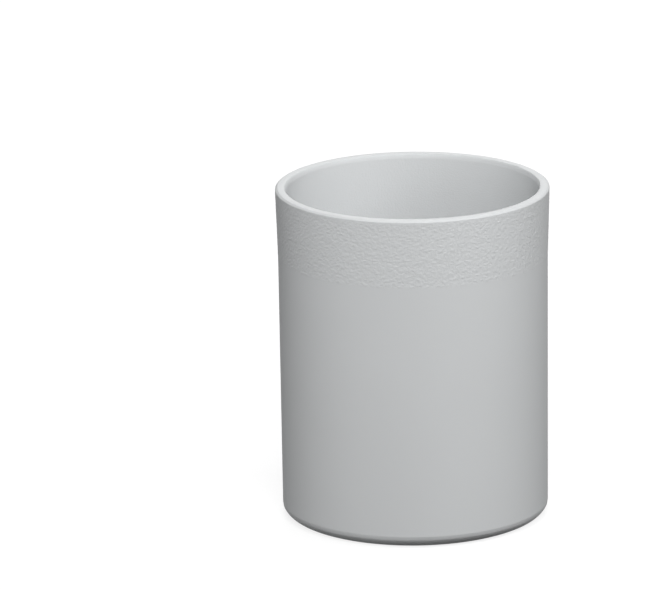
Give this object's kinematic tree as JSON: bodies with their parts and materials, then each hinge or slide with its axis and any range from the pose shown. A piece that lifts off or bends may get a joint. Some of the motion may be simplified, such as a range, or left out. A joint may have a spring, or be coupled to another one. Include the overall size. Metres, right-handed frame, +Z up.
{
  "type": "pen holder",
  "caption": "Round open desk cup for pens, in matte light grey plastic, with a finely grained band under the lip, a plain wall and soft anti-slip pads under the base.",
  "frame": {"origin": "on the table, under the middle of the cup", "axes": "+Z up along the cup's axis; X and Y lie between the pads and are otherwise alike, because the cup is round"},
  "size_m": [0.081, 0.081, 0.1],
  "materials": {
    "cup_plastic": "matte light grey, fine grain on the upper band, smooth below",
    "pad_rubber": "soft dark grey, dull"
  },
  "bodies": {
    "root": {"cup": "cup_plastic", "anti_slip_pad_1": "pad_rubber", "anti_slip_pad_2": "pad_rubber", "anti_slip_pad_3": "pad_rubber", "anti_slip_pad_4": "pad_rubber"}
  },
  "joints": []
}
